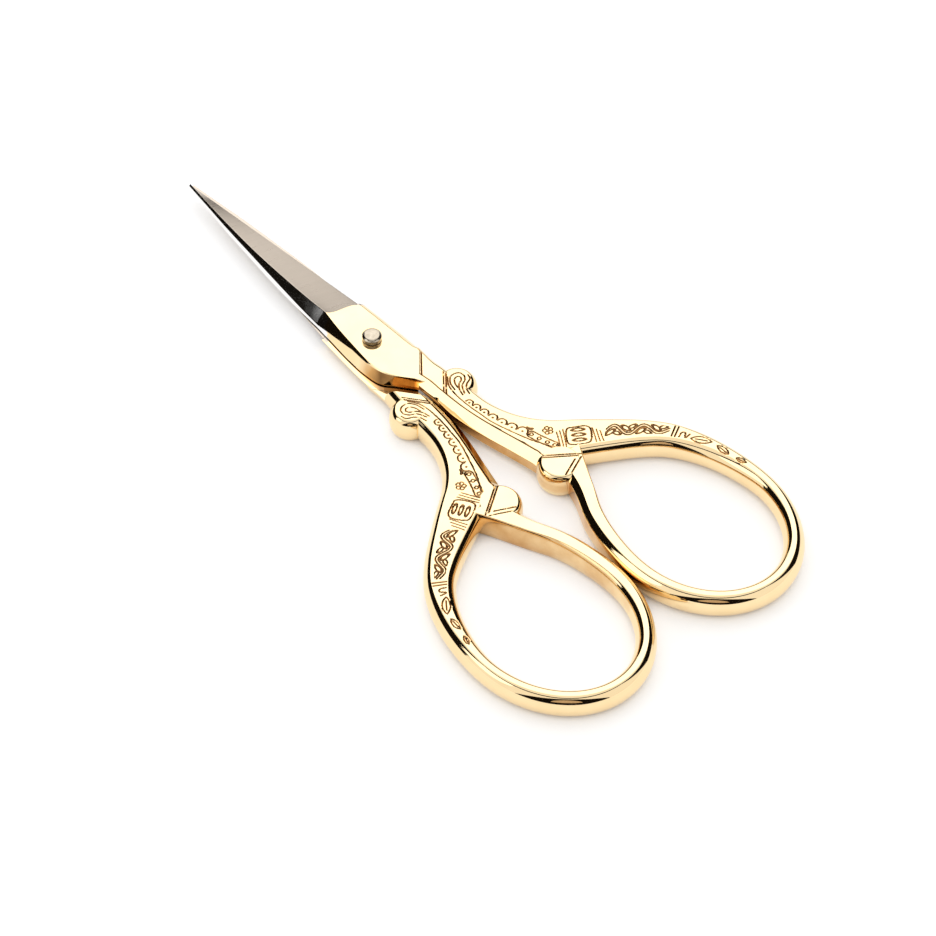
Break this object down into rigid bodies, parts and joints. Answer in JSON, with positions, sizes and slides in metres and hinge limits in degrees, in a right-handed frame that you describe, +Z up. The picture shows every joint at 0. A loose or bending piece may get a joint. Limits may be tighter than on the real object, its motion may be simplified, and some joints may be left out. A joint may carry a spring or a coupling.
{
  "type": "embroidery scissors",
  "caption": "Small ornamental embroidery scissors with slim pointed steel blades, gold carved shanks and egg-shaped finger bows, turning on one pivot rivet.",
  "frame": {"origin": "on the pivot axis, on the plane that the closed scissors lie on", "axes": "+Y towards the blade tips, +X to the side of the top half's bow, +Z up along the pivot"},
  "size_m": [0.0554, 0.1152, 0.0055],
  "materials": {
    "gold": "polished gold plate over forged steel, with the ground blade bare",
    "steel": "bright steel rivet"
  },
  "bodies": {
    "lower": {"bottom_half": "gold", "pivot_rivet": "steel"},
    "upper": {"top_half": "gold"}
  },
  "joints": [
    {"name": "pivot", "type": "hinge", "parent": "lower", "child": "upper", "pos_m": [0, 0, 0.0022], "axis": [0, 0, 1], "range_deg": [0, 125]}
  ]
}
